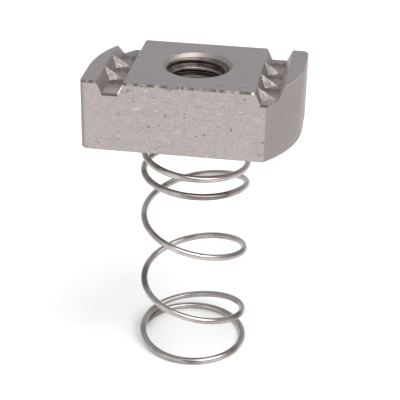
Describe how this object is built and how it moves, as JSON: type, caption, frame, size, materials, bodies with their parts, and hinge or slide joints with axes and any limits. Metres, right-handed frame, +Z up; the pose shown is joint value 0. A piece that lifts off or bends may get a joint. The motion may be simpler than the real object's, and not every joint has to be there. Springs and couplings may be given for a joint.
{
  "type": "strut spring nut",
  "caption": "Toothed steel channel nut with lip grooves, a tapped hole and a long wire spring beneath it.",
  "frame": {"origin": "point on the thread's axis at the spring's foot, the plane that the free nut stands on", "axes": "+Z up the thread from the spring to the toothed face, +X along the nut's length, +Y across it"},
  "size_m": [0.0344, 0.02, 0.0521],
  "materials": {
    "nut_steel": "tumbled stainless steel, matt",
    "spring_steel": "bright drawn stainless wire"
  },
  "bodies": {
    "spring": {"spring": "spring_steel"},
    "nut": {"nut": "nut_steel"}
  },
  "joints": [
    {"name": "spring_compress", "type": "slide", "parent": "spring", "child": "nut", "axis": [0, 0, 1], "range_m": [-0.026, 0.001], "stiffness_N_per_m": 600, "springref_m": 0.0007, "deforming": ["spring"]}
  ]
}
